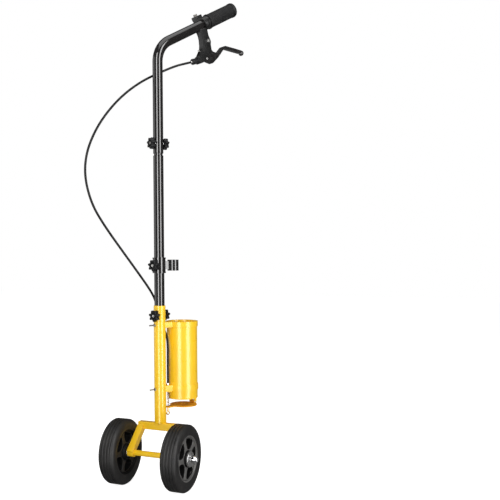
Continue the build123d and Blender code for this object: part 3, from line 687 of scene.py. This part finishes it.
POST_R, POST_BORE_R = 13.0, 11.25
MAST_R, MAST_BORE_R = 11.2, 9.55
HANDLE_BORE_R = 9.6
CANISTER = COLUMN @ shift(59.5, 0, 0)
CANISTER_R, CAN_BORE_R = 34.0, 32.75
SEAT_Z, CANISTER_Z, CANISTER_TOP = 177.5, 179.5, 348.0
HANDLE_Z = 718.0              # lower end of the handle tube
BEND_R = 58.0
BAR_LENGTH = 235.5


def pipe_outline(outer, inner, z0, z1):
    """Section of a straight pipe in (radius, z)."""
    return [(outer, z0), (outer, z1), (inner, z1), (inner, z0)]


def columns():
    """Post, mast, can holder and the bent handle tube."""
    turned("post_shell", ["post_tube"], COLUMN, pipe_outline(POST_R, POST_BORE_R, 128.0, 384.7), 0.5)
    turned("mast_shell", ["mast_tube"], COLUMN, pipe_outline(MAST_R, MAST_BORE_R, 350.0, 713.5), 0.9)
    turned("canister_shell", ["canister_tube"], CANISTER,
           pipe_outline(CANISTER_R, CAN_BORE_R, CANISTER_Z, CANISTER_TOP), 0.5, segments=160)
    turned("can_seat", ["can_seat_ring"], CANISTER,
           pipe_outline(CANISTER_R, 25.0, SEAT_Z, CANISTER_Z), 0.6, segments=128)

    slope = Vector((cos(radians(BAR_SLOPE)), 0, sin(radians(BAR_SLOPE))))
    crossing = Vector((0, 0, CORNER_Z))
    sweep = radians(90 - BAR_SLOPE)
    cut = BEND_R * sin(sweep / 2) / cos(sweep / 2)
    centre = crossing + Vector((BEND_R, 0, -cut))
    line = [Vector((0, 0, HANDLE_Z + k)) for k in (0.0, 0.5)]
    line += [Vector((0, 0, HANDLE_Z + (CORNER_Z - cut - HANDLE_Z) * k / 12)) for k in range(1, 13)]
    turns = [sweep * k / 28 for k in range(1, 29)]
    line += [centre + BEND_R * Vector((-cos(a), 0, sin(a))) for a in turns]
    last = crossing + slope * BAR_LENGTH
    line += [line[-1].lerp(last, k / 12) for k in range(1, 13)]
    bm = bmesh.new()
    tube(bm, [COLUMN @ p for p in line], lambda t: 10.75 if t == 0 else MAST_R, 96, inner=HANDLE_BORE_R)
    piece("handle_bar", bm, ["handle_tube"])


# ---- grip ----------------------------------------------------------------------------------

GRIP_START, GRIP_END = 156.0, 240.5  # along the bar
GRIP_BORE_R = 11.25
FIELD_R = 14.9                       # floor of the patterned field
LOZENGE = 1.1                        # height of a lozenge above the floor
LOZENGES_AROUND = 24
LOZENGE_ROWS = 15
STEPS_PER_ROW = 6


def grip():
    """Rubber grip: ring flanges, and a field of raised lozenges between them."""
    start, end = GRIP_START, GRIP_END
    flange = [(GRIP_BORE_R, start), (16.6, start), (17.2, start + 0.6), (17.2, start + 2.8),
              (16.6, start + 3.5), (15.0, start + 3.8), (15.0, start + 5.4)]
    first = start + 6.4
    last = end - 10.6
    pitch = (last - first) / LOZENGE_ROWS
    field = [(FIELD_R, first + pitch * k / STEPS_PER_ROW) for k in range(LOZENGE_ROWS * STEPS_PER_ROW + 1)]
    cap = [(15.0, end - 9.6), (15.0, end - 8.4), (16.3, end - 7.8), (16.8, end - 7.2), (16.8, end - 3.2),
           (16.2, end - 1.4), (14.6, end - 0.3), (12.5, end), (6.0, end), (5.2, end - 0.8),
           (0.0, end - 0.8), (0.0, end - 4.9), (GRIP_BORE_R, end - 4.9)]

    def lozenge(angle, index):
        """Height of the pattern; the lozenges of odd rows are half a step further round."""
        if not len(flange) <= index < len(flange) + len(field):
            return 0.0
        row = (index - len(flange)) / STEPS_PER_ROW
        cell = abs(cos(angle * LOZENGES_AROUND / 2 + (pi / 2 if int(row) % 2 else 0.0)))
        up = max(0.0, min(1.0, (abs(sin(pi * row)) * 0.75 + cell * 0.75 - 0.62) * 4.0))
        return LOZENGE * up

    bm = bmesh.new()
    lathe(bm, BAR @ turn(90, "Y"), flange + field + cap, 192, wave=lozenge)
    bmesh.ops.recalc_face_normals(bm, faces=bm.faces)
    piece("rubber_grip", bm, ["handle_grip"], sharp=42.0)


# ---- knobs ---------------------------------------------------------------------------------

KNOB_R = 12.9
KNOB_THICK = 9.5
KNOB_GAP = 1.5                # between the knob and the tube it clamps
LOBES = 7
SCOOP = 3.9                   # depth of the hollows between the lobes
COLLAR_R = 14.7
POST_KNOB_Z, COLLAR_KNOB_Z, JOINT_KNOB_Z = 363.0, 472.6, 740.0


def star_loop():
    """Outline of a star knob: round lobes with scooped hollows between them."""
    loop = []
    steps = 168
    for step in range(steps):
        angle = tau * step / steps
        phase = 0.5 + 0.5 * cos(LOBES * angle)
        r = KNOB_R - SCOOP * (1.0 - phase ** 0.8)
        loop.append((r * cos(angle), r * sin(angle)))
    return loop


def knobs():
    """Five star knobs, each with a boss round its stud, set back in the middle of its face."""
    spots = (("post_front_knob", heading(-9, POST_KNOB_Z), POST_R),
             ("post_rear_knob", heading(171, POST_KNOB_Z), POST_R),
             ("collar_knob", heading(-9, COLLAR_KNOB_Z), COLLAR_R),
             ("joint_front_knob", heading(330, JOINT_KNOB_Z), MAST_R),
             ("joint_rear_knob", heading(150, JOINT_KNOB_Z), MAST_R))
    for name, place, surface in spots:
        face = surface + KNOB_GAP
        bm = bmesh.new()
        head = sheet_outline([star_loop(), ring_points(40, 6.4)], KNOB_THICK / 2, 1.3, 4)
        add(bm, head, place @ shift(0, 0, face + KNOB_THICK / 2))
        front = face + KNOB_THICK
        core = [(3.0, face + 0.3), (6.6, face + 0.3), (6.6, front - 2.4), (4.6, front - 2.2),
                (4.4, front - 0.2), (3.0, front - 0.2)]
        ring = bmesh.new()
        lathe(ring, place, rounded(core, 0.35), 40)
        bmesh.ops.recalc_face_normals(ring, faces=ring.faces)
        add(bm, ring)
        piece(name + "_star", bm, [name + "_head"], sharp=40.0)


# ---- clamp of the lever perch --------------------------------------------------------------

EAR_X, EAR_HALF = 146.0, 7.4         # along the bar: middle and half width
EAR_ROOT, EAR_TIP = 5.5, 29.3        # to the side of the bar
EAR_FROM, EAR_TO = 12.6, 21.8        # above the bar's axis
EAR_CORNER = 5.0
SCREW_Y = 18.0


def quarter(x, y, start):
    """Quarter circle of the ear's rounded corner."""
    angles = [start + k * pi / 12 for k in range(7)]
    return [(x + EAR_CORNER * cos(a), y + EAR_CORNER * sin(a)) for a in angles]


def clamp():
    """Upper ear of the split clamp and the cap screw that closes it."""
    reach = EAR_HALF - EAR_CORNER
    side = EAR_TIP - EAR_CORNER
    loop = quarter(EAR_X + reach, side, 0.0) + quarter(EAR_X - reach, side, pi / 2)
    loop += [(EAR_X - EAR_HALF, EAR_ROOT), (EAR_X + EAR_HALF, EAR_ROOT)]
    bm = bmesh.new()
    ear = sheet_outline([loop], (EAR_TO - EAR_FROM) / 2, 1.0)
    add(bm, ear, BAR @ shift(0, 0, (EAR_FROM + EAR_TO) / 2))
    piece("clamp_upper_ear", bm, ["lever_perch"], sharp=40.0)
    cap = [(0.0, 9.0), (2.0, 9.0), (2.0, 21.0), (4.4, 21.0), (4.4, 26.5), (2.6, 26.5), (2.2, 23.8),
           (0.0, 23.8)]
    turned("clamp_cap_screw", ["clamp_screw"], BAR @ shift(EAR_X, SCREW_Y, 0), cap, 0.4, 32, finish=STEEL)


# ---- cable ---------------------------------------------------------------------------------

UPPER_ROUTE = [(52.0, 3.5, 918.0), (17.0, 13.5, 901.5), (-30.5, 17.5, 876.8), (-79.0, 16.0, 842.0),
               (-119.5, 15.0, 801.0), (-150.5, 15.0, 757.0), (-171.5, 15.0, 708.0)]
LOWER_ROUTE = [(-175.0, 15.0, 658.0), (-158.5, 15.0, 603.0), (-129.0, 15.0, 559.5), (-89.5, 15.4, 511.0),
               (-48.5, 16.0, 462.0), (-9.0, 17.3, 414.0), (5.0, 19.5, 388.0), (11.0, 22.5, 362.0),
               (18.0, 17.5, 338.5), (21.0, 4.0, 318.0), (19.5, -2.5, 296.0)]
WIRE = (17.0, -5.2)           # axis of the wire's lower end, in the column frame
HOUSING_R, WIRE_R = 2.5, 0.8
COIL_R, COIL_WIRE_R, COIL_TURNS = 2.5, 0.55, 10.0


def cable():
    """Housing in two lengths that meet where the loop is widest, the wire at the lever, the spring."""
    seat = ADJUSTER @ Vector((0, 0, 12.4))
    leaving = ADJUSTER @ Vector((0, 0, 36.0))
    middle = COLUMN @ ((Vector(UPPER_ROUTE[-1]) + Vector(LOWER_ROUTE[0])) / 2)
    upper = [seat, leaving] + [COLUMN @ Vector(p) for p in UPPER_ROUTE] + [middle]
    lower = [middle] + [COLUMN @ Vector(p) for p in LOWER_ROUTE]
    lower += [COLUMN @ Vector((*WIRE, z)) for z in (262.0, 211.2)]
    for name, points, node, bodies in (
            ("housing_upper", upper, "cable_housing_upper", ("mast", "handle")),
            ("housing_lower", lower, "cable_housing_lower", ("frame", "mast"))):
        bm = bmesh.new()
        tube(bm, smooth_line(points, 24), HOUSING_R, 20)
        made = piece(name, bm, [node], ride=False)
        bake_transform(made)

    bm = bmesh.new()
    nipple = BAR @ Vector((112.0, 0, -72.4))
    mouth = ADJUSTER @ Vector((0, 0, 0.8))
    tube(bm, [nipple.lerp(mouth, k / 12) for k in range(13)], WIRE_R, 12)
    wire = piece("inner_wire", bm, [], slot="zinc", ride=False)
    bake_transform(wire)

    bm = bmesh.new()
    bottom, top = 162.5, 194.0
    coil = []
    steps = 260
    for k in range(steps + 1):
        t = k / steps
        z = bottom + 0.5 + (top - bottom - 1.0) * t
        angle = tau * COIL_TURNS * t
        coil.append(COLUMN @ Vector((WIRE[0] + COIL_R * cos(angle), WIRE[1] + COIL_R * sin(angle), z)))
    tube(bm, coil, COIL_WIRE_R, 8)
    spring = piece("coil_spring", bm, ["return_spring"], body="frame", finish=SPRING)
    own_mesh(spring)


# ---- everything else keeps its CAD shape, softened -----------------------------------------

FINISHES = {"nozzle_plate": PLATE_PAINTED_SHADE, "brake_lever": BLACK, "collar_ring": BLACK, "tube_clip": BLACK,
            "strap_bolts": STEEL, "joint_front_knob_stud": STEEL, "joint_rear_knob_stud": STEEL}
# Radius of the rounded edges, in millimetres.
EDGES = {"yoke_crossbar": 1.6, "left_yoke_arm": 1.6, "right_yoke_arm": 1.6, "lever_perch": 0.9,
         "brake_lever": 1.1, "upper_strap": 0.4, "lower_strap": 0.4, "nozzle_plate": 0.5,
         "cable_bracket": 0.3, "collar_ring": 0.6, "tube_clip": 0.5, "barrel_adjuster": 0.4,
         "adjuster_lock_ring": 0.4, "lever_pivot_bolt": 0.4, "axle_tube": 0.3,
         "plate_hinge_bracket": 0.3, "plate_hinge_pin": 0.3, "axle_rod": 0.4,
         "post_inserts": 0.3, "handle_inserts": 0.3, "collar_insert": 0.3, "wire_clamp": 0.3,
         "upper_ferrule": 0.2, "lower_ferrule": 0.3, "reach_screw": 0.2, "cable_nipple": 0.3,
         "post_front_knob_stud": 0.5, "post_rear_knob_stud": 0.5, "collar_knob_stud": 0.5,
         "joint_front_knob_stud": 0.5, "joint_rear_knob_stud": 0.5}


def the_rest():
    """Soften the CAD shapes listed in EDGES; the nodes that nothing replaces only get a material."""
    for node, edge in EDGES.items():
        softened(node, node + "_body", edge, finish=FINISHES.get(node))
    for node, holder in frame["nodes"].items():
        if not holder.hide_render:
            holder.data.materials.clear()
            holder.data.materials.append(FINISHES.get(node, SLOTS[NODE_SLOT[node]]))


camera()
studio()
for side, name in ((1, "left_wheel"), (-1, "right_wheel")):
    wheel(side, name)
axle_ends()
columns()
grip()
knobs()
clamp()
cable()
the_rest()
